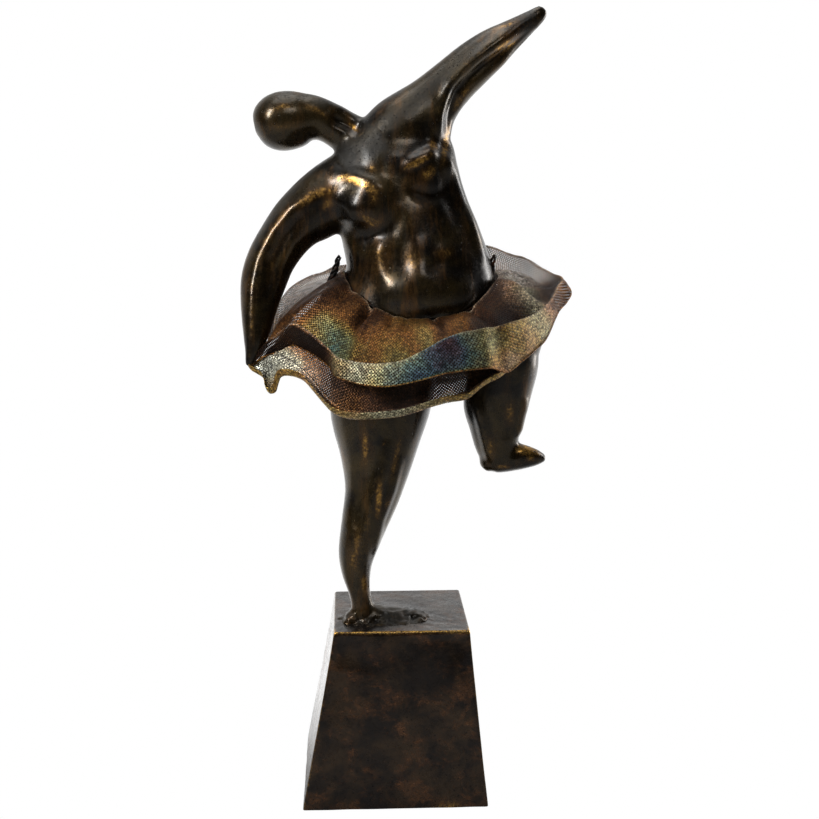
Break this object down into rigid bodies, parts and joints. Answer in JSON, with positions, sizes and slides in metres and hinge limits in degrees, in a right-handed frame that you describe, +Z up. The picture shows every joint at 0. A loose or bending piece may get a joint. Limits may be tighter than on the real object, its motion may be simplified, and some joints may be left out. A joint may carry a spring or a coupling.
{
  "type": "bronze statuette",
  "caption": "Stylised full-bodied bronze dancer balancing on one leg on a flared plinth, one arm raised, the other holding out a short two-layer tutu of woven metal mesh.",
  "frame": {"origin": "centre of the flat underside of the felt under the base, on the surface the statuette stands on", "axes": "+Z up, -Y towards the dancer's front, +X towards the raised leg and the raised arm"},
  "size_m": [0.1527, 0.1193, 0.3589],
  "materials": {
    "patinated_bronze": "dark brown patina, polished, gold where worn",
    "plain_steel": "plain",
    "felt": "matte felt",
    "copper_mesh": "heat-coloured woven wire",
    "iron_wire": "blackened"
  },
  "bodies": {
    "root": {"base_casting": "patinated_bronze", "base_felt": "felt", "heel_stud": "plain_steel", "stud_washer": "plain_steel", "stud_nut": "plain_steel", "toe_pin": "patinated_bronze", "standing_leg": "patinated_bronze", "torso": "patinated_bronze", "head": "patinated_bronze", "raised_arm": "patinated_bronze", "lowered_arm": "patinated_bronze", "raised_leg": "patinated_bronze", "neck_dowel": "patinated_bronze", "raised_arm_dowel": "patinated_bronze", "lowered_arm_dowel": "patinated_bronze", "standing_hip_collar": "patinated_bronze", "raised_hip_collar": "patinated_bronze", "tutu_upper": "copper_mesh", "tutu_lower": "copper_mesh", "waist_wire": "iron_wire"}
  },
  "joints": []
}
